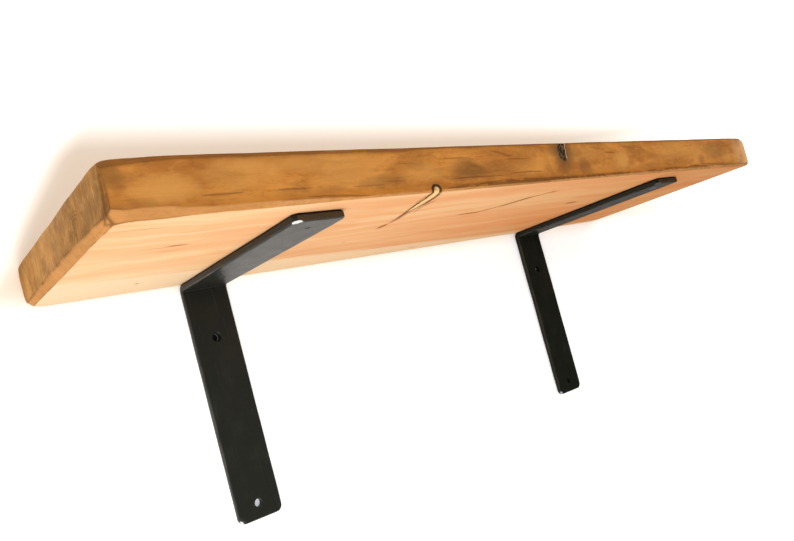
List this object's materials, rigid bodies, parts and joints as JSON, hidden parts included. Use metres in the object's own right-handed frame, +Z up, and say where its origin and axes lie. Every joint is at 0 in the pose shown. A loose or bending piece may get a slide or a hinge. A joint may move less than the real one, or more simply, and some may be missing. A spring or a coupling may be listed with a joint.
{
  "type": "wall shelf with brackets",
  "caption": "Thick rustic wooden plank shelf carried on bent flat-bar steel brackets that screw to a wall.",
  "frame": {"origin": "centre of the four wall holes, on the wall plane, which is the back of both legs and of the plank", "axes": "+X along the shelf to the viewer's right, +Y into the wall, +Z up"},
  "size_m": [0.72, 0.22, 0.238],
  "materials": {
    "waxed_pine": "waxed softwood, golden brown on the faces and ends, paler beneath",
    "black_steel": "hot-rolled black flat bar, waxed, semi-gloss",
    "screw_steel": "black phosphated wood screws"
  },
  "bodies": {
    "root": {"shelf_board": "waxed_pine", "left_bracket": "black_steel", "right_bracket": "black_steel", "left_front_screw": "screw_steel", "left_rear_screw": "screw_steel", "right_front_screw": "screw_steel", "right_rear_screw": "screw_steel"}
  },
  "joints": []
}
